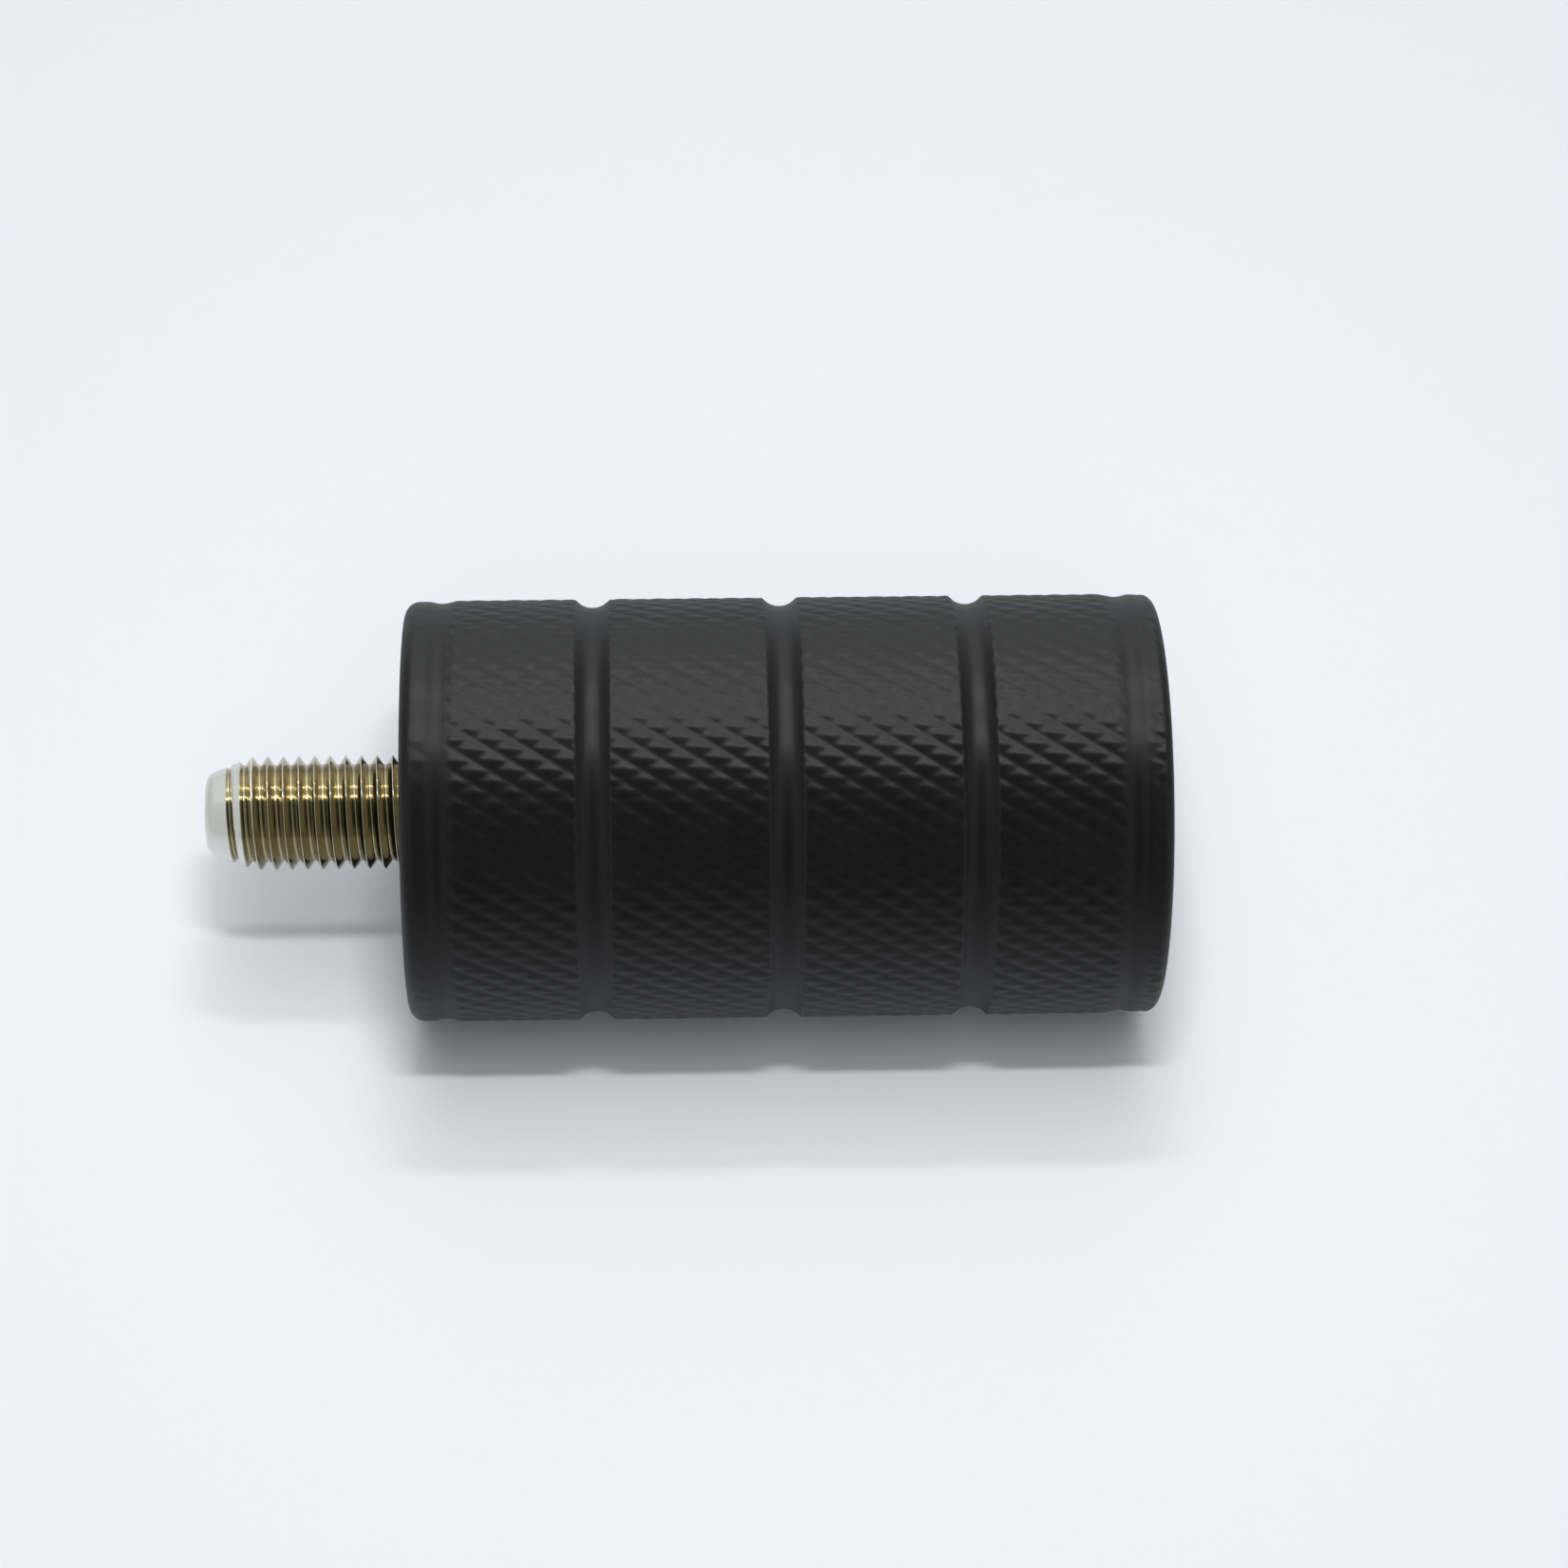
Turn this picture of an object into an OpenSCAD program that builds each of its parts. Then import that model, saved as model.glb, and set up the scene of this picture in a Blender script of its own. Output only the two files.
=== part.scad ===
// Bolt-on foot peg for a motorcycle's gear or brake lever. A round knurled
// grip body is held to the lever by a socket head cap screw that passes
// through it, with a spring lock washer under the screw's head.
// Millimetres. X is the peg's axis: the threaded end points along -X, the
// outer end along +X, and +Z is up. The origin is the centre of the shoulder
// face that seats against the lever.

/* [Grip body] */
// Diameter of the round bar, seen at the smooth collars (1-1/8 in)
body_d = 28.575; // [26:0.005:34]
// Length from the shoulder face to the outer face (2 in)
body_len = 50.8; // [48:0.1:54]
// Height of the knurl's crests above the bar
knurl_rise = 0.06; // [0.02:0.01:0.2]
// Radius of the rounded edge at the shoulder face
shoulder_round = 1; // [0.4:0.1:1.6]
// Radius of the rounded edge at the outer face
outer_round = 0.8; // [0.4:0.1:1.6]

/* [Grooves] */
// Number of knurled bands, with one finger groove between each two
band_count = 4; // [3:1:5]
// Width of a finger groove at the surface
groove_w = 2.35; // [1.5:0.05:2.8]
// Depth of a finger groove below the knurl's crests
groove_depth = 0.6; // [0.3:0.05:0.9]
// Distance from each end face to the narrow groove where the knurl stops
relief_from_end = 2.54; // [2.4:0.02:4]
// Width of that narrow groove at the surface
relief_w = 1.2; // [0.8:0.05:1.4]
// Depth of that narrow groove
relief_depth = 0.25; // [0.15:0.05:0.4]

/* [Screw hole] */
// Diameter of the clearance hole along the axis (21/64 in)
hole_d = 8.334; // [8:0.001:9]
// Diameter of the counterbore for the head and the washer (5/8 in)
counterbore_d = 15.875; // [15:0.005:18]
// Depth of the counterbore from the outer face (5/8 in)
counterbore_depth = 15.875; // [14:0.005:20]
// Width of the chamfer at both mouths
mouth_chamfer = 0.5; // [0.2:0.1:0.8]

/* [Cap screw] */
// Length under the head (2 in)
screw_len = 50.8; // [50:0.1:60]
// Diameter over the thread's crests (5/16-24, within its lower limit)
thread_d = 7.75; // [7.7:0.01:7.9]
// Diameter at the thread's roots
thread_root_d = 6.55; // [6.4:0.01:6.7]
// Threads per inch
threads_per_inch = 24; // [20:1:28]
// Diameter of the flat at the very tip
tip_d = 5.3; // [4.5:0.1:5.8]
// Half angle of the cone that leads the thread in
tip_half_angle = 20.5; // [15:0.5:35]
// Distance from the tip to where the first thread root starts
first_root = 1.22; // [1:0.02:2]
// Diameter of the head
head_d = 11.8; // [11.6:0.05:11.9]
// Height of the head
head_h = 7.87; // [7.7:0.01:7.95]
// Width of the chamfer round the top of the head
head_chamfer = 0.45; // [0.2:0.05:0.8]
// Hexagon socket, across flats (1/4 in)
socket_af = 6.35; // [6.3:0.01:6.45]
// Depth of the hexagon's flats
socket_depth = 4; // [3.5:0.1:4.5]

/* [Lock washer] */
// Outside diameter
washer_od = 14.7; // [13:0.1:14.9]
// Inside diameter
washer_id = 8.1; // [8.05:0.01:8.3]
// Thickness, pressed flat
washer_t = 2.2; // [1.98:0.02:2.6]
// Width of the slit through the ring
slit_w = 0.9; // [0.4:0.1:1.5]
// Slope of the slit from the axis
slit_angle = 25; // [0:5:40]

/* [Hidden] */

inch = 25.4;
eps = 0.01;
round_fn = 96;

body_r = body_d / 2;
crest_r = body_r + knurl_rise;
module_len = body_len / band_count;
seat_x = body_len - counterbore_depth;
head_x = seat_x + washer_t;
tip_x = head_x - screw_len;

pitch = inch / threads_per_inch;
crest_flat = pitch / 8;
root_flat = pitch / 4;
flank_run = (pitch - crest_flat - root_flat) / 2;
ring_count = ceil((-tip_x - first_root) / pitch);
rings_end = first_root + ring_count * pitch + root_flat;
mean_thread_d = (thread_d + thread_root_d) / 2;
socket_corner_d = socket_af / cos(30);
drill_half_angle = 59;

// Stands a shape that was turned about Z along the peg's axis, from x
module along_x(x = 0) {
    translate([x, 0, 0])
        rotate([0, 90, 0])
            children();
}

// Radius of the circle that cuts an arc of this width and depth
function arc_radius(width, depth) = (width * width / 4 + depth * depth) / (2 * depth);

// Ring of round section that leaves an arc groove in a surface of radius r
module ring_groove(x, r, width, depth) {
    section_r = arc_radius(width, depth);
    along_x(x)
        rotate_extrude($fn = round_fn)
            translate([r - depth + section_r, 0])
                circle(r = section_r, $fn = round_fn / 2);
}

// Half section of the bar with both of its outer edges rounded
module bar_section() {
    square([body_r - max(shoulder_round, outer_round), body_len]);
    translate([0, shoulder_round])
        square([body_r, body_len - shoulder_round - outer_round]);
    square([body_r - shoulder_round, shoulder_round * 2]);
    translate([0, body_len - outer_round * 2])
        square([body_r - outer_round, outer_round * 2]);
    translate([body_r - shoulder_round, shoulder_round])
        circle(r = shoulder_round, $fn = round_fn / 2);
    translate([body_r - outer_round, body_len - outer_round])
        circle(r = outer_round, $fn = round_fn / 2);
}

// Clearance hole, counterbore and the chamfers at their mouths
module screw_hole() {
    along_x(-eps)
        cylinder(d = hole_d, h = body_len, $fn = round_fn);
    along_x(seat_x)
        cylinder(d = counterbore_d, h = counterbore_depth + eps, $fn = round_fn);
    along_x(-eps)
        cylinder(
            d1 = hole_d + 2 * (mouth_chamfer + eps),
            d2 = hole_d,
            h = mouth_chamfer + eps,
            $fn = round_fn
        );
    along_x(body_len - mouth_chamfer)
        cylinder(
            d1 = counterbore_d,
            d2 = counterbore_d + 2 * (mouth_chamfer + eps),
            h = mouth_chamfer + eps,
            $fn = round_fn
        );
}

// Grip body: the bar, its knurled bands at crest height, grooves and hole
module grip_body() {
    color("#2b2b2c")
        difference() {
            union() {
                along_x()
                    rotate_extrude($fn = round_fn)
                        bar_section();
                along_x(relief_from_end)
                    cylinder(r = crest_r, h = body_len - 2 * relief_from_end, $fn = round_fn);
            }
            for (i = [1 : band_count - 1])
                ring_groove(i * module_len, crest_r, groove_w, groove_depth);
            for (x = [relief_from_end, body_len - relief_from_end])
                ring_groove(x, crest_r, relief_w, relief_depth + knurl_rise);
            screw_hole();
        }
}

// Outline points of one thread ring whose leading root starts at height z
function ring_points(z) = [
    [thread_root_d / 2, z + root_flat],
    [thread_d / 2, z + root_flat + flank_run],
    [thread_d / 2, z + root_flat + flank_run + crest_flat],
    [thread_root_d / 2, z + pitch]
];

// Half section of the thread: equal rings one pitch apart where it stands out
// of the body, then its mean diameter as far as the head
module thread_section() {
    polygon([
        [0, 0],
        [thread_root_d / 2, 0],
        for (i = [0 : ring_count - 1])
            for (p = ring_points(first_root + i * pitch))
                p,
        [thread_root_d / 2, rings_end],
        [mean_thread_d / 2, rings_end],
        [mean_thread_d / 2, screw_len + eps],
        [0, screw_len + eps]
    ]);
}

// Half section of the blank that the thread is cut in, pointed at the tip
module blank_section() {
    cone_len = (thread_d - tip_d) / 2 / tan(tip_half_angle);
    polygon([
        [0, 0],
        [tip_d / 2, 0],
        [thread_d / 2, cone_len],
        [thread_d / 2, screw_len + eps],
        [0, screw_len + eps]
    ]);
}

// Half section of the whole screw before the hexagon socket is cut
module screw_section() {
    intersection() {
        thread_section();
        blank_section();
    }
    polygon([
        [0, screw_len],
        [head_d / 2, screw_len],
        [head_d / 2, screw_len + head_h - head_chamfer],
        [head_d / 2 - head_chamfer, screw_len + head_h],
        [0, screw_len + head_h]
    ]);
}

// Hexagon socket with the cone that the drill leaves at its bottom
module hex_socket() {
    cone_h = socket_af / 2 / tan(drill_half_angle);
    translate([0, 0, -socket_depth])
        cylinder(d = socket_corner_d, h = socket_depth + eps, $fn = 6);
    translate([0, 0, -socket_depth - cone_h])
        cylinder(d1 = 0, d2 = socket_af, h = cone_h + eps, $fn = round_fn);
}

// Socket head cap screw
module cap_screw() {
    color("#b9b39c")
        along_x(tip_x)
            difference() {
                rotate_extrude($fn = round_fn)
                    screw_section();
                translate([0, 0, screw_len + head_h])
                    hex_socket();
            }
}

// Spring lock washer, pressed flat, with its sloping slit
module lock_washer() {
    color("#c9c9c6")
        along_x(seat_x)
            difference() {
                cylinder(d = washer_od, h = washer_t, $fn = round_fn);
                translate([0, 0, -eps])
                    cylinder(d = washer_id, h = washer_t + 2 * eps, $fn = round_fn);
                translate([0, washer_od / 2, washer_t / 2])
                    rotate([0, slit_angle, 0])
                        cube([slit_w, washer_od, 3 * washer_t], center = true);
            }
}

grip_body();
lock_washer();
cap_screw();
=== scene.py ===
"""Looks of the bolt-on foot peg: a knurled black grip body, its cap screw and its lock washer.

The CAD parts give the places and the overall sizes, and the finer sizes are named below. X is the
peg's axis, with the threaded end towards -X, and +Z is up. Lengths are in metres; MM turns
millimetres into metres.
"""

import math

import bpy
import numpy as np
from mathutils import Matrix, Vector


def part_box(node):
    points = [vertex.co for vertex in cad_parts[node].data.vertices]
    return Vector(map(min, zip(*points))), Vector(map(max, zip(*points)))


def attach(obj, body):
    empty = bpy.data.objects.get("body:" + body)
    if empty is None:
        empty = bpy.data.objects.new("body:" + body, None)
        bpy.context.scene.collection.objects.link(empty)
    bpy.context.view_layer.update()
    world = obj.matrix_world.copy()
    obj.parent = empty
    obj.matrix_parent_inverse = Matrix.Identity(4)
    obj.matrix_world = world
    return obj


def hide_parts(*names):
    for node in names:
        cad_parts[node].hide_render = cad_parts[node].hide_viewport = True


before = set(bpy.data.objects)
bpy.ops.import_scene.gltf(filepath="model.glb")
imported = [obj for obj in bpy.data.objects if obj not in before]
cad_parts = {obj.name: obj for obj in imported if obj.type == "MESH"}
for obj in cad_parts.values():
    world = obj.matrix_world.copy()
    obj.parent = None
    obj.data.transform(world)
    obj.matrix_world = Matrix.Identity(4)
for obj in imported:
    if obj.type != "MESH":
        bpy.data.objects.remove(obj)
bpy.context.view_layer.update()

MM = 0.001
INCH = 25.4 * MM

# ---------------------------------------------------------------- sizes
body_low, body_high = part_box("grip_body")
screw_low, screw_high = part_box("cap_screw")
washer_low, washer_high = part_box("lock_washer")

# Bar with its rounded edges, finger grooves and, near each end, a narrow relief groove
BODY_LEN = body_high.x
CREST_R = body_high.z
BODY_R = 1.125 * INCH / 2
SHOULDER_ROUND = 1.0 * MM
OUTER_ROUND = 0.8 * MM
GROOVE_COUNT = 3
MODULE_LEN = BODY_LEN / (GROOVE_COUNT + 1)
GROOVE_W = 2.35 * MM
GROOVE_DEPTH = 0.6 * MM
RELIEF_FROM_END = 2.54 * MM
RELIEF_W = 1.2 * MM
RELIEF_DEPTH = 0.15 * MM
EDGE_SOFTNESS = 0.10 * MM
RELIEF_SOFTNESS = 0.30 * MM
OUTER_EDGE_STEPS = 10

# Hole, and counterbore down to the washer's seat
HOLE_R = 8.334 * MM / 2
COUNTERBORE_R = 0.625 * INCH / 2
SEAT_X = washer_low.x
MOUTH_CHAMFER = 0.5 * MM
CORNER_ROUND = 0.15 * MM
CORNER_STEPS = 5
COUNTERBORE_RINGS = 8
HOLE_RINGS = 12
INSIDE_SEGMENTS_PER_START = 2

# Knurl: grooves of each family round the bar, how far along it they repeat, and the depths of the
# two families
KNURL_STARTS = 61
KNURL_PITCH_X = 2.46 * MM
KNURL_DEEP = 0.10 * MM
KNURL_SHALLOW = 0.072 * MM
KNURL_SHARPNESS = 1.25
KNURL_BLEND = 0.03 * MM
KNURL_SAMPLES = 10
KNURL_FADE = 0.35 * MM
COLLAR_UNEVENNESS = 0.4
INNER_COLLAR_KNURL = 0.35
OUTER_COLLAR_KNURL = 0.2
OUTER_CORNER_KNURL = 0.9
OUTER_CORNER_START = 1.6 * MM
OUTER_CORNER_FADE = 0.7 * MM

# Screw: thread, the cone and rounded edge at its tip, plain shank and head
TIP_X = screw_low.x
HEAD_X = washer_high.x
HEAD_TOP_X = screw_high.x
HEAD_R = screw_high.z
PITCH = INCH / 24
THREAD_SHIFT = 0.62 * MM
THREAD_R = 7.75 * MM / 2
ROOT_R = 6.55 * MM / 2
SHANK_R = 7.86 * MM / 2
THREAD_START_X = TIP_X + 1.0 * MM
THREAD_END_X = TIP_X + 1.125 * INCH
THREAD_RUNOUT = 1.5 * PITCH
TIP_CONE_R = 2.66 * MM
TIP_HALF_ANGLE = math.radians(20.5)
TIP_ROUND = 0.9 * MM
TIP_SOFTNESS = 0.04 * MM
FIRST_ROOT_EXTRA = 0.2 * MM
FIRST_ROOT_LEN = 2.0 * MM
FIRST_ROOT_FADE = 0.5 * MM
THREAD_SEGMENTS = 120
SHANK_RINGS = 10
HEAD_FILLET = 0.3 * MM
HEAD_SEGMENTS = 480
HEAD_FLUTES = 60
FLUTE_DEPTH = 0.16 * MM
HEAD_CHAMFER = 0.45 * MM
SOCKET_AF = 6.35 * MM
SOCKET_DEPTH = 4.0 * MM
SOCKET_LEAD = 0.12 * MM
SOCKET_LEAD_SLOPE = math.radians(30)
DRILL_HALF_ANGLE = math.radians(59)
SCREW_SHARP_ANGLE = math.radians(32)

# Lock washer
WASHER_INNER_R = 8.1 * MM / 2
WASHER_OUTER_R = washer_high.z
WASHER_THICKNESS = washer_high.x - washer_low.x
WASHER_ROUND = 0.22 * MM
WASHER_SEGMENTS = 160
SLIT_W = 0.9 * MM
SLIT_SLOPE = math.radians(25)
WASHER_SHARP_ANGLE = math.radians(40)


# ---------------------------------------------------------------- small helpers
def smooth_step(t):
    """0 below 0, 1 above 1, and smooth in between."""
    t = np.clip(t, 0.0, 1.0)
    return t * t * (3 - 2 * t)


def soft_min(a, b, softness):
    """The smaller of a and b, with the corner between them rounded."""
    h = np.clip(0.5 + 0.5 * (b - a) / softness, 0.0, 1.0)
    return b + (a - b) * h - softness * h * (1 - h)


def soft_max(a, b, softness):
    """The larger of a and b, with the corner between them rounded."""
    return -soft_min(-a, -b, softness)


def arc(x, r, radius, start, end, count):
    """Points (x, r) on an arc about (x, r). Angles are in degrees, from +x towards +r."""
    angles = np.radians(np.linspace(start, end, count))
    return [(x + radius * math.cos(t), r + radius * math.sin(t)) for t in angles]


def spaced(start, end, step):
    """Numbers from start up to, and not with, end, about step apart."""
    count = max(1, int(round((end - start) / step)))
    return list(start + (end - start) * np.arange(count) / count)


def turned(count):
    """Angles of count points, evenly round the axis."""
    return np.arange(count) * 2 * math.pi / count


def make_mesh(name, points, faces, smooth=True):
    """A mesh object from points and faces."""
    mesh = bpy.data.meshes.new(name)
    mesh.from_pydata(points, [], faces)
    mesh.validate()
    mesh.polygons.foreach_set("use_smooth", [smooth] * len(mesh.polygons))
    obj = bpy.data.objects.new(name, mesh)
    bpy.context.scene.collection.objects.link(obj)
    return obj


def ring_points(x, r, angles):
    """Points of one ring about the X axis. Angle 0 is straight up and 90 degrees faces -Y."""
    x = np.broadcast_to(x, angles.shape)
    r = np.broadcast_to(r, angles.shape)
    return np.stack([x, -r * np.sin(angles), r * np.cos(angles)], axis=1)


class Skin:
    """Points and faces of a skin that is built ring by ring along the peg's axis."""

    def __init__(self):
        self.points = []
        self.faces = []

    def ring(self, x, r, angles):
        """Adds a ring of points and gives their numbers."""
        first = len(self.points)
        self.points += ring_points(x, r, angles).tolist()
        return list(range(first, len(self.points)))

    def bridge(self, near, far):
        """Faces between two rings, where one may have a whole multiple of the other's points."""
        if len(near) > len(far):
            self.fan(far, near, flip=True)
        else:
            self.fan(near, far, flip=False)

    def fan(self, few, many, flip):
        """Faces from a ring of few points to one of many. Flip turns them over."""
        n, m = len(few), len(many)
        k = m // n
        for i in range(n):
            after = few[(i + 1) % n]
            if k == 1:
                made = [[few[i], after, many[(i + 1) % m], many[i]]]
            else:
                split = k // 2
                made = [[few[i], after, many[i * k + split]]]
                for s in range(k):
                    corner = few[i] if s < split else after
                    made.append([corner, many[(i * k + s + 1) % m], many[i * k + s]])
            self.faces += [face[::-1] for face in made] if flip else made

    def close(self, ring, x, last):
        """Faces from a ring to one point on the axis, at the skin's last or first end."""
        point = self.ring(x, 0.0, np.zeros(1))[0]
        for i in range(len(ring)):
            face = [ring[i], ring[(i + 1) % len(ring)], point]
            self.faces.append(face if last else face[::-1])


# ---------------------------------------------------------------- grip body
def groove_floor(x, centre, width, depth, surface_r):
    """Radius of an arc groove's wall at x, and a large radius away from it."""
    section_r = (width * width / 4 + depth * depth) / (2 * depth)
    inside = section_r**2 - (x - centre) ** 2
    wall = surface_r - depth + section_r - np.sqrt(np.maximum(inside, 0.0))
    return np.where(inside > 0, wall, surface_r + section_r)


def knurl_cut(x, angles):
    """Depth that the two families of crossing grooves take off the bar at full strength."""
    turn = KNURL_STARTS * angles / (2 * math.pi)
    along = x / KNURL_PITCH_X
    deep = (0.5 + 0.5 * np.cos(2 * math.pi * (turn - along))) ** KNURL_SHARPNESS
    shallow = (0.5 + 0.5 * np.cos(2 * math.pi * (turn + along))) ** KNURL_SHARPNESS
    return soft_max(KNURL_DEEP * deep, KNURL_SHALLOW * shallow, KNURL_BLEND)


def knurl_strength(x, angles):
    """How fully the knurl is formed: full on the bands, uneven and mostly faint on the collars."""

    def beyond(distance):
        """0 before an edge and 1 past it, by how far past it the place is."""
        return smooth_step(distance / KNURL_FADE + 0.5)

    from_outer = BODY_LEN - x
    band_margin = RELIEF_FROM_END + RELIEF_W / 2
    collar_len = RELIEF_FROM_END - RELIEF_W / 2
    band = beyond(x - band_margin) * beyond(from_outer - band_margin)
    inner_collar = INNER_COLLAR_KNURL * beyond(collar_len - x)
    outer_collar = OUTER_COLLAR_KNURL * beyond(collar_len - from_outer)
    in_corner = smooth_step((OUTER_CORNER_START - from_outer) / OUTER_CORNER_FADE)
    outer_corner = OUTER_CORNER_KNURL * in_corner
    waves = np.sin(3 * angles + 1.0) * np.sin(7 * angles)
    uneven = 1 - COLLAR_UNEVENNESS + COLLAR_UNEVENNESS * waves
    return band + uneven * (inner_collar + outer_collar + outer_corner)


def body_surface(x, angles):
    """Radius of the grip body's outside at x, all the way round."""
    in_band = RELIEF_FROM_END < x < BODY_LEN - RELIEF_FROM_END
    bar = CREST_R if in_band else BODY_R
    r = bar - knurl_cut(x, angles) * knurl_strength(x, angles)
    for i in range(GROOVE_COUNT):
        wall = groove_floor(x, (i + 1) * MODULE_LEN, GROOVE_W, GROOVE_DEPTH, CREST_R)
        r = soft_min(r, wall, EDGE_SOFTNESS)
    for centre in (RELIEF_FROM_END, BODY_LEN - RELIEF_FROM_END):
        wall = groove_floor(x, centre, RELIEF_W, RELIEF_DEPTH, BODY_R)
        r = soft_min(r, wall, RELIEF_SOFTNESS)
    return r


def body_stations():
    """Places along X for the rings of the outside, closer together at grooves."""
    fine = 0.11 * MM
    coarse = 0.18 * MM
    margin = 0.3 * MM
    stops = []
    previous = SHOULDER_ROUND
    grooves = [(RELIEF_FROM_END, RELIEF_W)]
    grooves += [((i + 1) * MODULE_LEN, GROOVE_W) for i in range(GROOVE_COUNT)]
    grooves += [(BODY_LEN - RELIEF_FROM_END, RELIEF_W)]
    for centre, width in grooves:
        half = width / 2 + margin
        stops.append((previous, centre - half, coarse))
        stops.append((centre - half, centre + half, fine))
        previous = centre + half
    stops.append((previous, BODY_LEN - OUTER_ROUND, coarse))
    stations = []
    for start, end, step in stops:
        stations += spaced(start, end, step)
    return stations + [BODY_LEN - OUTER_ROUND]


def inside_profile():
    """Points (x, r) from the outer face in, through counterbore and hole, to the shoulder."""
    tiny = 0.05 * MM
    margin = 4 * tiny
    rnd = CORNER_ROUND
    beside_corner = 3 * rnd
    wall_margin = 1.0 * MM
    hole_margin = 1.5 * MM
    mouth_r = COUNTERBORE_R + MOUTH_CHAMFER
    hole_mouth_r = HOLE_R + MOUTH_CHAMFER
    counterbore_xs = np.linspace(BODY_LEN - wall_margin, SEAT_X + wall_margin, COUNTERBORE_RINGS)
    hole_xs = np.linspace(SEAT_X - wall_margin, hole_margin, HOLE_RINGS)
    points = [
        (BODY_LEN, mouth_r + margin),
        (BODY_LEN, mouth_r + tiny),
        (BODY_LEN - tiny, mouth_r - tiny / 2),
        (BODY_LEN - MOUTH_CHAMFER + tiny, COUNTERBORE_R + tiny),
        (BODY_LEN - MOUTH_CHAMFER - tiny, COUNTERBORE_R),
    ]
    points += [(x, COUNTERBORE_R) for x in counterbore_xs]
    points += arc(SEAT_X + rnd, COUNTERBORE_R - rnd, rnd, 90, 180, CORNER_STEPS)
    points += [(SEAT_X, COUNTERBORE_R - beside_corner), (SEAT_X, HOLE_R + beside_corner)]
    points += arc(SEAT_X - rnd, HOLE_R + rnd, rnd, 0, -90, CORNER_STEPS)
    points += [(x, HOLE_R) for x in hole_xs]
    points += [
        (MOUTH_CHAMFER + tiny, HOLE_R),
        (MOUTH_CHAMFER - tiny, HOLE_R + tiny),
        (tiny, hole_mouth_r - tiny / 2),
        (0.0, hole_mouth_r + tiny),
        (0.0, hole_mouth_r + margin),
    ]
    return points


def build_grip_body():
    """The grip body's closed skin: knurled outside, both end faces, counterbore and hole."""
    angles = turned(KNURL_STARTS * KNURL_SAMPLES)
    inside_angles = turned(KNURL_STARTS * INSIDE_SEGMENTS_PER_START)
    face_margin = 0.2 * MM
    skin = Skin()
    rings = []

    def edge_ring(x, r, face_x, round_r):
        """A ring on a rounded outer edge, with what is left of the collar's knurl."""
        depth = BODY_R - body_surface(x, angles)
        share = smooth_step(abs(x - face_x) / round_r)
        return skin.ring(x, r - depth * share, angles)

    shoulder_r = BODY_R - SHOULDER_ROUND
    shoulder_arc = arc(SHOULDER_ROUND, shoulder_r, SHOULDER_ROUND, 180, 90, OUTER_EDGE_STEPS)
    outer_r = BODY_R - OUTER_ROUND
    outer_arc = arc(BODY_LEN - OUTER_ROUND, outer_r, OUTER_ROUND, 90, 0, OUTER_EDGE_STEPS)
    rings.append(skin.ring(0.0, shoulder_r - face_margin, angles))
    for x, r in shoulder_arc[:-1]:
        rings.append(edge_ring(x, r, 0.0, SHOULDER_ROUND))
    for x in body_stations():
        rings.append(skin.ring(x, body_surface(x, angles), angles))
    for x, r in outer_arc[1:]:
        rings.append(edge_ring(x, r, BODY_LEN, OUTER_ROUND))
    rings.append(skin.ring(BODY_LEN, outer_r - face_margin, angles))
    for x, r in inside_profile():
        rings.append(skin.ring(x, r, inside_angles))
    for near, far in zip(rings, rings[1:] + rings[:1]):
        skin.bridge(near, far)
    return make_mesh("grip_body_knurled", skin.points, skin.faces)


# ---------------------------------------------------------------- cap screw
def thread_profile():
    """The thread's profile over one pitch, as (share of the pitch, radius) from root to root."""
    crest_half = 1 / 26
    crest_turn = math.radians(60)
    crest_round = crest_half * PITCH / math.sin(crest_turn)
    flank_top = THREAD_R - crest_round * (1 - math.cos(crest_turn))
    root_half = 1 / 9
    flank_foot = ROOT_R + 0.05 * MM

    def root(t):
        return ROOT_R + (flank_foot - ROOT_R) * (t / root_half) ** 2

    def flank(t):
        share = (t - root_half) / (0.5 - crest_half - root_half)
        return flank_foot + share * (flank_top - flank_foot)

    def crest(turn):
        across = crest_round * math.sin(turn) / PITCH
        return 0.5 + across, THREAD_R - crest_round * (1 - math.cos(turn))

    flank_steps = [0.2, 0.3, 0.38, 0.43]
    pairs = [(t, root(t)) for t in np.linspace(-root_half, root_half, 5)]
    pairs += [(t, flank(t)) for t in flank_steps]
    pairs += [crest(turn) for turn in np.linspace(-crest_turn, crest_turn, 5)]
    pairs += [(1 - t, flank(t)) for t in reversed(flank_steps)]
    return pairs


def cone_radius(x):
    """Radius of the cone that leads the thread in."""
    return TIP_CONE_R + (x - TIP_X) * math.tan(TIP_HALF_ANGLE)


def thread_radius(x, angles):
    """Radius of the screw's threaded part, where the angle runs as on a right-hand thread."""
    profile = thread_profile()
    share = np.array([p[0] for p in profile] + [profile[0][0] + 1])
    radius = np.array([p[1] for p in profile] + [profile[0][1]])
    turns = (x - TIP_X - THREAD_SHIFT) / PITCH - angles / (2 * math.pi)
    wrapped = (turns - share[0]) % 1.0 + share[0]
    r = np.interp(wrapped, share, radius)
    depth_share = (THREAD_R - r) / (THREAD_R - ROOT_R)
    in_first_root = 1 - smooth_step((x - TIP_X - FIRST_ROOT_LEN) / FIRST_ROOT_FADE)
    r = r - FIRST_ROOT_EXTRA * depth_share * in_first_root
    runout = smooth_step((x - THREAD_END_X + THREAD_RUNOUT) / THREAD_RUNOUT)
    r = r + (SHANK_R - r) * runout
    return soft_min(r, cone_radius(x), TIP_SOFTNESS)


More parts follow.
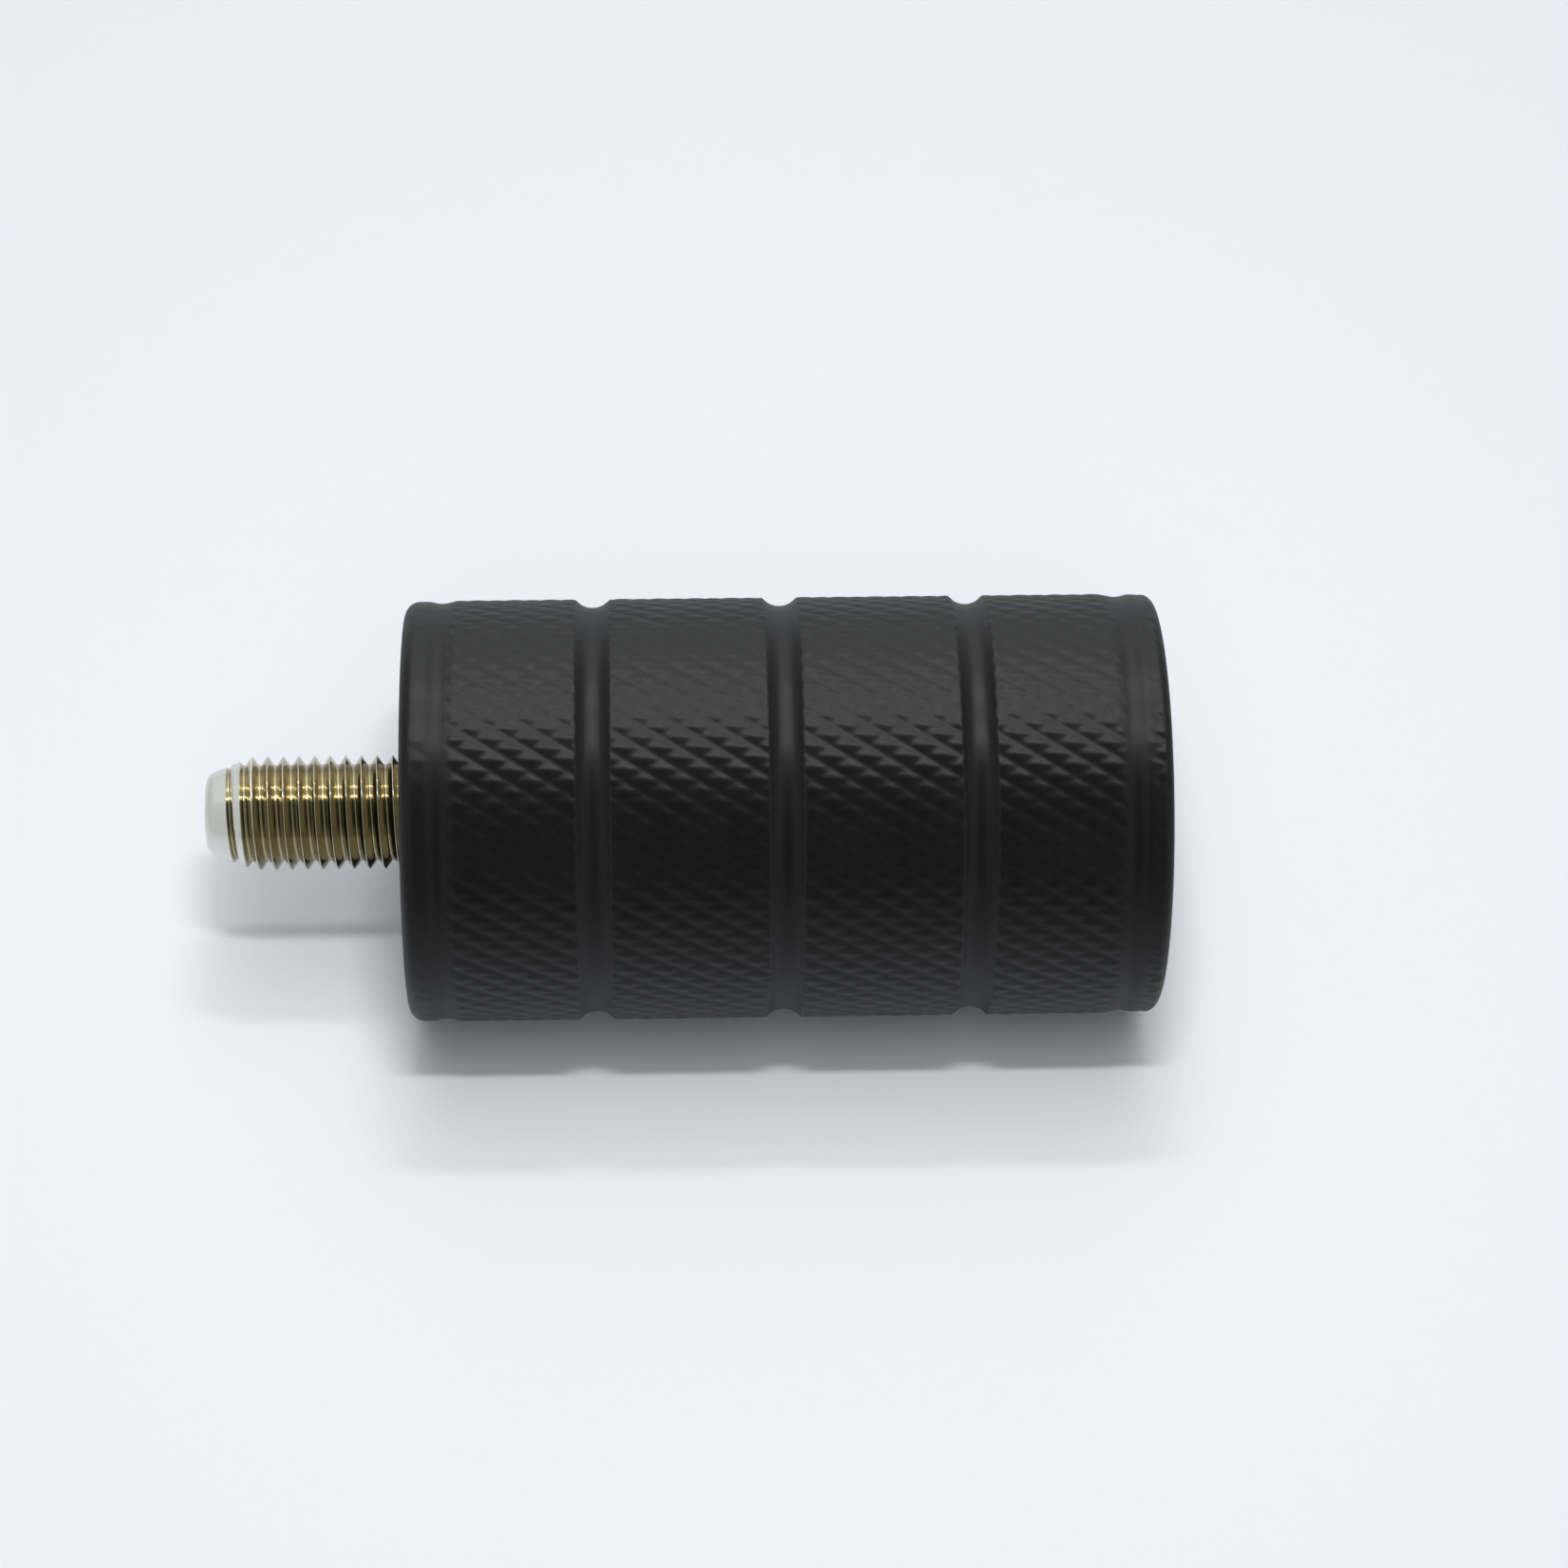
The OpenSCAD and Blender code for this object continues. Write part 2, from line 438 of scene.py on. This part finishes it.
def add_screw_tip(skin, angles):
    """The tip's end face, rounded edge and bare cone. Gives the last ring."""
    flat_r = TIP_CONE_R - TIP_ROUND * math.tan((math.pi / 2 - TIP_HALF_ANGLE) / 2)
    face_margin = 0.03 * MM
    edge_end = 90 + math.degrees(TIP_HALF_ANGLE)
    edge = arc(TIP_X + TIP_ROUND, flat_r, TIP_ROUND, 180, edge_end, 6)
    cone_xs = np.linspace(edge[-1][0], THREAD_START_X, 5)[1:-1]
    profile = [(TIP_X, flat_r / 2), (TIP_X, flat_r - face_margin)]
    profile += edge
    profile += [(x, cone_radius(x)) for x in cone_xs]
    rings = [skin.ring(x, r, angles) for x, r in profile]
    skin.close(rings[0], TIP_X, last=False)
    for near, far in zip(rings, rings[1:]):
        skin.bridge(near, far)
    return rings[-1]


def add_thread(skin, angles):
    """Rows that follow the helix, cut off flat at both ends. Gives the first and last ring."""
    phases = np.array([p[0] for p in thread_profile()])
    per_turn = len(phases)
    columns = len(angles)
    spare_turns = 6
    spare_before = 2
    turns = int((THREAD_END_X - THREAD_START_X) / PITCH) + spare_turns
    first_turn = int((THREAD_START_X - TIP_X) / PITCH) - spare_before
    turn = first_turn + np.arange(turns)
    starts = (turn[:, None] + phases[None, :]).reshape(-1) * PITCH
    xs = TIP_X + THREAD_SHIFT + starts[:, None] + PITCH * angles[None, :] / (2 * math.pi)
    xs = np.clip(xs, THREAD_START_X, THREAD_END_X)
    radii = thread_radius(xs, np.broadcast_to(angles, xs.shape))
    nanometre = 1e-9
    spots = {}

    def spot(x, column):
        """What tells a point from the others: its column, and its x to a nanometre."""
        return column, round(x / nanometre)

    def number(row, column):
        """Number of the point of a row and column, shared where rows are cut off at an end."""
        if column == columns:
            row, column = row + per_turn, 0
        x = xs[row, column]
        key = spot(x, column)
        if key not in spots:
            spots[key] = skin.ring(x, radii[row, column], angles[column : column + 1])[0]
        return spots[key]

    for row in range(len(starts) - per_turn - 1):
        for column in range(columns):
            corners = [
                number(row, column),
                number(row, column + 1),
                number(row + 1, column + 1),
                number(row + 1, column),
            ]
            unique = [c for i, c in enumerate(corners) if c != corners[i - 1]]
            if len(set(unique)) >= 3:
                skin.faces.append(unique)
    first = [spots[spot(THREAD_START_X, column)] for column in range(columns)]
    last = [spots[spot(THREAD_END_X, column)] for column in range(columns)]
    return first, last


def add_rings(skin, previous, rows, angles):
    """Rings at the (x, r) of each row, joined on after the previous ring. Gives the last ring."""
    for x, r in rows:
        ring = skin.ring(x, r, angles)
        skin.bridge(previous, ring)
        previous = ring
    return previous


def add_screw_head(skin, previous):
    """The head's fluted side and chamfers, and its socket with the drill's cone at the bottom."""
    angles = turned(HEAD_SEGMENTS)
    step = 0.05 * MM
    fluted_r = HEAD_R - FLUTE_DEPTH * (0.5 + 0.5 * np.cos(HEAD_FLUTES * angles))
    flute_run = 0.25 * MM
    flutes_low = HEAD_X + 0.5 * MM
    flutes_high = HEAD_TOP_X - 1.1 * MM
    chamfer_x = HEAD_TOP_X - HEAD_CHAMFER
    chamfer_r = HEAD_R - HEAD_CHAMFER
    side = [
        (HEAD_X, HEAD_R - 9 * step),
        (HEAD_X + step, HEAD_R - 6 * step),
        (HEAD_X + 6 * step, HEAD_R - step),
        (flutes_low, HEAD_R),
        (flutes_low + flute_run, fluted_r),
        (flutes_high - flute_run, fluted_r),
        (flutes_high, HEAD_R),
        (chamfer_x - 2 * step, HEAD_R),
        (chamfer_x, HEAD_R - step),
        (HEAD_TOP_X - step, chamfer_r),
        (HEAD_TOP_X, chamfer_r - 2 * step),
    ]
    previous = add_rings(skin, previous, side, angles)

    sixth = math.pi / 3
    hexagon = SOCKET_AF / 2 / np.cos((angles % sixth) - sixth / 2)
    lead_r = SOCKET_AF / math.sqrt(3) + SOCKET_LEAD
    lead_depth = (lead_r - hexagon) * math.tan(SOCKET_LEAD_SLOPE)
    flats_x = HEAD_TOP_X - 1.2 * MM
    floor_x = HEAD_TOP_X - SOCKET_DEPTH
    cone_r = SOCKET_AF / 2 - step
    cone_depth = cone_r / math.tan(DRILL_HALF_ANGLE)
    point_share = 0.1
    socket = [
        (HEAD_TOP_X, lead_r + 3 * step),
        (HEAD_TOP_X, lead_r),
        (HEAD_TOP_X - lead_depth, hexagon),
        (flats_x, hexagon),
        (floor_x, hexagon),
        (floor_x, cone_r),
        (floor_x - cone_depth * (1 - point_share), cone_r * point_share),
    ]
    previous = add_rings(skin, previous, socket, angles)
    skin.close(previous, floor_x - cone_depth, last=True)


def build_cap_screw():
    """The screw: pointed tip, helical thread, shank, and a head with a hexagon socket."""
    angles = turned(THREAD_SEGMENTS)
    skin = Skin()
    tip_end = add_screw_tip(skin, angles)
    thread_first, thread_last = add_thread(skin, angles)
    skin.bridge(tip_end, thread_first)
    fillet_x = HEAD_X - HEAD_FILLET
    shank = [(x, SHANK_R) for x in np.linspace(THREAD_END_X, fillet_x, SHANK_RINGS)[1:]]
    shank += arc(fillet_x, SHANK_R + HEAD_FILLET, HEAD_FILLET, -90, 0, CORNER_STEPS)[1:]
    add_screw_head(skin, add_rings(skin, thread_last, shank, angles))
    obj = make_mesh("cap_screw_threaded", skin.points, skin.faces)
    obj.data.set_sharp_from_angle(angle=SCREW_SHARP_ANGLE)
    return obj


# ---------------------------------------------------------------- lock washer
def build_lock_washer():
    """A spring lock washer: a ring of rounded section with a sloping slit at its front."""
    low, high = WASHER_ROUND, WASHER_THICKNESS - WASHER_ROUND
    inner, outer = WASHER_INNER_R + WASHER_ROUND, WASHER_OUTER_R - WASHER_ROUND
    section = []
    corners = [(high, outer, 0), (low, outer, 90), (low, inner, 180), (high, inner, 270)]
    for x, r, start in corners:
        section += arc(x, r, WASHER_ROUND, start, start + 90, CORNER_STEPS)
    slit_angle = math.pi / 2
    points, faces = [], []
    for i in range(WASHER_SEGMENTS + 1):
        share = i / WASHER_SEGMENTS
        for x, r in section:
            lean = (x - WASHER_THICKNESS / 2) * math.tan(SLIT_SLOPE) / r
            gap = SLIT_W / 2 / r
            angle = slit_angle + lean + gap + share * (2 * math.pi - 2 * gap)
            points += ring_points(washer_low.x + x, r, np.array([angle])).tolist()
    n = len(section)
    for i in range(WASHER_SEGMENTS):
        for k in range(n):
            m = (k + 1) % n
            faces.append([i * n + k, i * n + m, (i + 1) * n + m, (i + 1) * n + k])
    faces.append(list(reversed(range(n))))
    faces.append([WASHER_SEGMENTS * n + k for k in range(n)])
    obj = make_mesh("lock_washer_split", points, faces)
    obj.data.set_sharp_from_angle(angle=WASHER_SHARP_ANGLE)
    return obj


# ---------------------------------------------------------------- materials
COAT_TONES = (0.0042, 0.0040, 0.0038), (0.0062, 0.0060, 0.0058)
COAT_ROUGHNESS = 0.32, 0.40
COAT_POLISH = 0.03
COAT_SPECULAR = 0.2
EDGE_ON_START = 0.35
EDGE_ON_END = 0.75
EDGE_ON_ROUGHNESS = 0.15
DUST_CELLS = 420.0
DUST_RADIUS = 0.018
DUST_SHARE = 0.1
DUST_TONE = (0.22, 0.22, 0.21)

STEEL_BRIGHT = (0.68, 0.68, 0.64)
STEEL_WARM_TONES = (0.27, 0.245, 0.155), (0.40, 0.34, 0.205)
STEEL_ROUGHNESS = 0.24, 0.36
WARM_POLISH = 0.16
WARM_START = 1.1 * MM
WARM_FADE = 0.3 * MM
CREST_WARMTH = 0.6
CREST_BAND = 0.05 * MM
CONE_BAND = 0.08 * MM

SPRING_TONES = (0.50, 0.50, 0.49), (0.62, 0.62, 0.60)
SPRING_ROUGHNESS = 0.28, 0.42


def new_material(name):
    """A material with a node tree, and its principled shader."""
    material = bpy.data.materials.new(name)
    material.use_nodes = True
    return material, material.node_tree, material.node_tree.nodes["Principled BSDF"]


def node(tree, kind, **values):
    """A new node with its properties and inputs set by name."""
    made = tree.nodes.new(kind)
    for key, value in values.items():
        if hasattr(made, key):
            setattr(made, key, value)
        else:
            made.inputs[key.replace("_", " ")].default_value = value
    return made


def noise(tree, scale, detail):
    """A noise texture in the object's own coordinates. Scale is in waves per metre."""
    place = node(tree, "ShaderNodeTexCoord")
    made = node(tree, "ShaderNodeTexNoise", Scale=scale, Detail=detail)
    tree.links.new(place.outputs["Object"], made.inputs["Vector"])
    return made


def blend_colours(tree, factor, low, high):
    """A colour socket that mixes two colours by a factor socket."""
    made = node(tree, "ShaderNodeMix", data_type="RGBA")
    made.inputs["A"].default_value = (*low, 1)
    made.inputs["B"].default_value = (*high, 1)
    tree.links.new(factor, made.inputs["Factor"])
    return made.outputs["Result"]


def map_range(tree, value, low, high):
    """A value socket between 0 and 1, turned into one between low and high."""
    made = node(tree, "ShaderNodeMapRange", To_Min=low, To_Max=high)
    tree.links.new(value, made.inputs["Value"])
    return made.outputs["Result"]


def add_grain(tree, shader, scale, detail, strength, depth):
    """A fine bump of the shader's surface. Depth is in metres."""
    grain = noise(tree, scale, detail)
    bump = node(tree, "ShaderNodeBump", Strength=strength, Distance=depth)
    tree.links.new(grain.outputs["Fac"], bump.inputs["Height"])
    tree.links.new(bump.outputs["Normal"], shader.inputs["Normal"])


def write_attribute(obj, name, values):
    """Stores one number per point of the mesh, for a material to read."""
    made = obj.data.attributes.new(name, "FLOAT", "POINT")
    made.data.foreach_set("value", values.astype(np.float32))


def point_places(obj):
    """X and distance from the axis of every point of the mesh."""
    coords = np.zeros(len(obj.data.vertices) * 3)
    obj.data.vertices.foreach_get("co", coords)
    coords = coords.reshape(-1, 3)
    return coords[:, 0], np.hypot(coords[:, 1], coords[:, 2])


def mark_rubbed(obj):
    """Writes how exposed each point is: the knurl's tops get handled, its grooves don't."""
    _, radius = point_places(obj)
    write_attribute(obj, "rubbed", smooth_step((radius - CREST_R + KNURL_DEEP) / KNURL_DEEP))


def mark_warm(obj):
    """Writes how straw-brown each point of the screw is: the thread is, and its crests less so."""
    x, radius = point_places(obj)
    below_crest = smooth_step((THREAD_R - radius) / CREST_BAND)
    warmth = CREST_WARMTH + (1 - CREST_WARMTH) * below_crest
    past_tip = smooth_step((x - TIP_X - WARM_START) / WARM_FADE)
    off_cone = smooth_step((cone_radius(x) - radius) / CONE_BAND)
    on_thread = x < THREAD_END_X
    write_attribute(obj, "warm", warmth * past_tip * off_cone * on_thread)


def dust(tree, colour):
    """A colour socket with a few pale specks of dust laid over it."""
    links = tree.links
    place = node(tree, "ShaderNodeTexCoord")
    cells = node(tree, "ShaderNodeTexVoronoi", Scale=DUST_CELLS)
    links.new(place.outputs["Object"], cells.inputs["Vector"])
    near = node(tree, "ShaderNodeMath", operation="LESS_THAN")
    near.inputs[1].default_value = DUST_RADIUS
    links.new(cells.outputs["Distance"], near.inputs[0])
    split = node(tree, "ShaderNodeSeparateColor")
    links.new(cells.outputs["Color"], split.inputs["Color"])
    chosen = node(tree, "ShaderNodeMath", operation="GREATER_THAN")
    chosen.inputs[1].default_value = 1 - DUST_SHARE
    links.new(split.outputs["Red"], chosen.inputs[0])
    speck = node(tree, "ShaderNodeMath", operation="MULTIPLY")
    links.new(near.outputs[0], speck.inputs[0])
    links.new(chosen.outputs[0], speck.inputs[1])
    laid = node(tree, "ShaderNodeMix", data_type="RGBA")
    laid.inputs["B"].default_value = (*DUST_TONE, 1)
    links.new(speck.outputs[0], laid.inputs["Factor"])
    links.new(colour, laid.inputs["A"])
    return laid.outputs["Result"]


def less_rough(tree, rough, attribute, polish):
    """A roughness socket, lowered by as much as polish where a mesh attribute is 1."""
    made = node(tree, "ShaderNodeMath", operation="MULTIPLY_ADD")
    made.inputs[1].default_value = -polish
    tree.links.new(attribute.outputs["Fac"], made.inputs[0])
    tree.links.new(rough, made.inputs[2])
    return made.outputs[0]


def black_coat():
    """Satin black powder coat: near-black, with a fine grain, handled tops and a little dust."""
    material, tree, shader = new_material("black_coat")
    links = tree.links
    drift = noise(tree, scale=260.0, detail=3.0).outputs["Fac"]
    tone = blend_colours(tree, drift, *COAT_TONES)
    links.new(dust(tree, tone), shader.inputs["Base Color"])

    rubbed = node(tree, "ShaderNodeAttribute", attribute_name="rubbed")
    polished = less_rough(tree, map_range(tree, drift, *COAT_ROUGHNESS), rubbed, COAT_POLISH)
    edge_on = node(tree, "ShaderNodeLayerWeight", Blend=0.5)
    spread = node(
        tree,
        "ShaderNodeMapRange",
        From_Min=EDGE_ON_START,
        From_Max=EDGE_ON_END,
        To_Max=EDGE_ON_ROUGHNESS,
    )
    links.new(edge_on.outputs["Facing"], spread.inputs["Value"])
    rough = node(tree, "ShaderNodeMath", operation="ADD")
    links.new(polished, rough.inputs[0])
    links.new(spread.outputs["Result"], rough.inputs[1])
    links.new(rough.outputs[0], shader.inputs["Roughness"])

    shader.inputs["Specular IOR Level"].default_value = COAT_SPECULAR
    add_grain(tree, shader, scale=9000.0, detail=3.0, strength=0.10, depth=0.03 * MM)
    return material


def stainless():
    """Stainless screw: a bright tip and head, and an olive-brown thread, less so on its crests."""
    material, tree, shader = new_material("stainless")
    links = tree.links
    shader.inputs["Metallic"].default_value = 1.0
    drift = noise(tree, scale=700.0, detail=4.0).outputs["Fac"]
    tint = node(tree, "ShaderNodeAttribute", attribute_name="warm")
    colour = node(tree, "ShaderNodeMix", data_type="RGBA")
    colour.inputs["A"].default_value = (*STEEL_BRIGHT, 1)
    links.new(blend_colours(tree, drift, *STEEL_WARM_TONES), colour.inputs["B"])
    links.new(tint.outputs["Fac"], colour.inputs["Factor"])
    links.new(colour.outputs["Result"], shader.inputs["Base Color"])
    polished = less_rough(tree, map_range(tree, drift, *STEEL_ROUGHNESS), tint, WARM_POLISH)
    links.new(polished, shader.inputs["Roughness"])
    add_grain(tree, shader, scale=5000.0, detail=2.0, strength=0.12, depth=0.02 * MM)
    return material


def spring_steel():
    """Plain bright spring steel for the lock washer."""
    material, tree, shader = new_material("spring_steel")
    shader.inputs["Metallic"].default_value = 1.0
    drift = noise(tree, scale=900.0, detail=4.0).outputs["Fac"]
    tree.links.new(blend_colours(tree, drift, *SPRING_TONES), shader.inputs["Base Color"])
    tree.links.new(map_range(tree, drift, *SPRING_ROUGHNESS), shader.inputs["Roughness"])
    return material


# ---------------------------------------------------------------- the pieces
def place_piece(obj, material, body_name, node_name):
    """Gives a piece its material and the CAD body it moves with, and hides the CAD node it stands
    for.
    """
    obj.data.materials.append(material)
    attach(obj, body_name)
    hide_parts(node_name)


body = build_grip_body()
mark_rubbed(body)
place_piece(body, black_coat(), "peg", "grip_body")

screw = build_cap_screw()
mark_warm(screw)
place_piece(screw, stainless(), "screw", "cap_screw")

washer = build_lock_washer()
place_piece(washer, spring_steel(), "washer", "lock_washer")


# ---------------------------------------------------------------- stage: floor, light and camera
# Camera: angles in radians, lens and sensor in millimetres
ELEVATION = math.radians(59)
YAW = math.radians(1.8)
ROLL = 0.0118
DISTANCE = 312 * MM
LENS = 104.8
SENSOR = 36.0
CLIP_START = 10 * MM
CLIP_END = 20.0
AIM_X = 25.6 * MM
AIM_DROP = 0.00505

# Floor and strip lights
FLOOR_REACH = 4.0
FLOOR_COLOUR = (0.86, 0.875, 0.925)
FLOOR_ROUGHNESS = 0.6
FLOOR_SPECULAR = 0.2
STRIP_HEIGHT = 300 * MM
LIT_STRIP_LEN = 60 * MM
GLINT_STRIP_LEN = 400 * MM

# Brightness by angle about the peg's axis, in degrees from straight up, towards -Y if positive
TENT = [
    (-90, 1.0),
    (-75, 1.5),
    (-60, 2.3),
    (-45, 2.35),
    (-9, 1.9),
    (0, 0.08),
    (55, 0.08),
    (90, 0.45),
]
OVERHEAD = [
    (-90, 0.2),
    (-35, 0.3),
    (-22, 2.7),
    (0, 3.2),
    (20, 3.5),
    (38, 1.6),
    (48, 0.4),
    (90, 0.2),
]
# Level towards the peg's ends, and the shares of X in a direction between which it takes over
OVERHEAD_BESIDE = {"beside": 0.1, "start": 0.12, "end": 0.35}
TENT_BESIDE = {"beside": 0.7, "start": 0.22, "end": 0.50}
SKY_COLOUR = (0.96, 0.99, 1.0)


def make_floor():
    """A pale floor that the knurl's crests rest on."""
    corners = [(-1, -1), (1, -1), (1, 1), (-1, 1)]
    points = [(x * FLOOR_REACH, y * FLOOR_REACH, body_low.z) for x, y in corners]
    floor = make_mesh("studio_floor", points, [[0, 1, 2, 3]], smooth=False)
    material, _, shader = new_material("studio_floor")
    shader.inputs["Base Color"].default_value = (*FLOOR_COLOUR, 1)
    shader.inputs["Roughness"].default_value = FLOOR_ROUGHNESS
    shader.inputs["Specular IOR Level"].default_value = FLOOR_SPECULAR
    floor.data.materials.append(material)


def make_strip(name, lean_deg, width, power, glint):
    """A strip light along X over the peg, leaning from straight up, towards -Y if positive.

    A glint strip shows only in reflections, and any other only lights the surfaces it falls on.
    """
    lean = math.radians(lean_deg)
    light = bpy.data.lights.new(name, "AREA")
    light.shape = "RECTANGLE"
    light.size = GLINT_STRIP_LEN if glint else LIT_STRIP_LEN
    light.size_y = width
    light.energy = power
    obj = bpy.data.objects.new(name, light)
    bpy.context.scene.collection.objects.link(obj)
    spot = Vector((AIM_X, -STRIP_HEIGHT * math.tan(lean), STRIP_HEIGHT))
    obj.location = spot
    aim = Vector((AIM_X, 0, 0)) - spot
    obj.rotation_mode = "QUATERNION"
    obj.rotation_quaternion = aim.to_track_quat("-Z", "Y")
    obj.visible_glossy = glint
    obj.visible_diffuse = not glint


def level_by_angle(tree, share, levels):
    """A brightness socket from (degrees, level) pairs, by the angle about the peg's axis."""
    ramp = node(tree, "ShaderNodeValToRGB")
    tree.links.new(share, ramp.inputs["Fac"])
    stops = ramp.color_ramp.elements
    while len(stops) < len(levels):
        stops.new(0.5)
    for stop, (degrees, level) in zip(stops, levels):
        stop.position = (degrees + 90) / 180
        stop.color = (level, level, level, 1)
    return ramp.outputs["Color"]


def faded_beside(tree, level, side, beside, start, end):
    """A brightness socket that gives way to another level towards the peg's ends."""
    share = node(tree, "ShaderNodeMapRange", From_Min=start, From_Max=end)
    tree.links.new(side, share.inputs["Value"])
    mixed = node(tree, "ShaderNodeMix", data_type="FLOAT", B=beside)
    tree.links.new(level, mixed.inputs["A"])
    tree.links.new(share.outputs["Result"], mixed.inputs["Factor"])
    return mixed.outputs["Result"]


def make_world():
    """Soft light from overhead, and a tent in the reflections, bright above and behind the peg.

    The first only lights the surfaces it falls on, and the second shows only in reflections.
    """
    world = bpy.data.worlds.new("tent")
    bpy.context.scene.world = world
    world.use_nodes = True
    tree = world.node_tree
    links = tree.links
    background = tree.nodes["Background"]
    place = node(tree, "ShaderNodeTexCoord")
    split = node(tree, "ShaderNodeSeparateXYZ")
    links.new(place.outputs["Generated"], split.inputs["Vector"])
    front = node(tree, "ShaderNodeMath", operation="MULTIPLY")
    front.inputs[1].default_value = -1.0
    links.new(split.outputs["Y"], front.inputs[0])
    angle = node(tree, "ShaderNodeMath", operation="ARCTAN2")
    links.new(front.outputs[0], angle.inputs[0])
    links.new(split.outputs["Z"], angle.inputs[1])
    share = node(tree, "ShaderNodeMapRange", From_Min=-math.pi / 2, From_Max=math.pi / 2)
    links.new(angle.outputs[0], share.inputs["Value"])
    side = node(tree, "ShaderNodeMath", operation="ABSOLUTE")
    links.new(split.outputs["X"], side.inputs[0])

    lit = level_by_angle(tree, share.outputs["Result"], OVERHEAD)
    lit = faded_beside(tree, lit, side.outputs[0], **OVERHEAD_BESIDE)
    seen = level_by_angle(tree, share.outputs["Result"], TENT)
    seen = faded_beside(tree, seen, side.outputs[0], **TENT_BESIDE)
    path = node(tree, "ShaderNodeLightPath")
    strength = node(tree, "ShaderNodeMix", data_type="FLOAT")
    links.new(lit, strength.inputs["A"])
    links.new(seen, strength.inputs["B"])
    links.new(path.outputs["Is Glossy Ray"], strength.inputs["Factor"])
    background.inputs["Color"].default_value = (*SKY_COLOUR, 1)
    links.new(strength.outputs["Result"], background.inputs["Strength"])


def make_camera():
    """The camera, at the angle the peg is seen from: above, a little left, and rolled a little."""
    data = bpy.data.cameras.new("camera")
    data.lens = LENS
    data.sensor_width = SENSOR
    data.clip_start = CLIP_START
    data.clip_end = CLIP_END
    camera = bpy.data.objects.new("camera", data)
    bpy.context.scene.collection.objects.link(camera)
    peg_axis = Vector((1, 0, 0))
    above = Vector((0, -math.cos(ELEVATION), math.sin(ELEVATION)))
    away = peg_axis * -math.sin(YAW) + above * math.cos(YAW)
    right = (peg_axis + away * math.sin(YAW)).normalized()
    up = away.cross(right)
    basis = Matrix((right, up, away)).transposed().to_4x4()
    spin = Matrix.Rotation(-ROLL, 4, "Z") @ Matrix.Rotation(AIM_DROP, 4, "X")
    target = Vector((AIM_X, 0, 0))
    camera.matrix_world = Matrix.Translation(target + away * DISTANCE) @ basis @ spin
    bpy.context.scene.camera = camera


make_floor()
make_strip("strip_front", lean_deg=8.6, width=10 * MM, power=0.30, glint=False)
make_strip("strip_back", lean_deg=-17.3, width=14 * MM, power=0.145, glint=False)
make_strip("glint_front", lean_deg=-8.5, width=5 * MM, power=0.42, glint=True)
make_strip("glint_back", lean_deg=-34.0, width=5 * MM, power=0.32, glint=True)
make_world()
make_camera()
bpy.context.scene.view_settings.view_transform = "Standard"
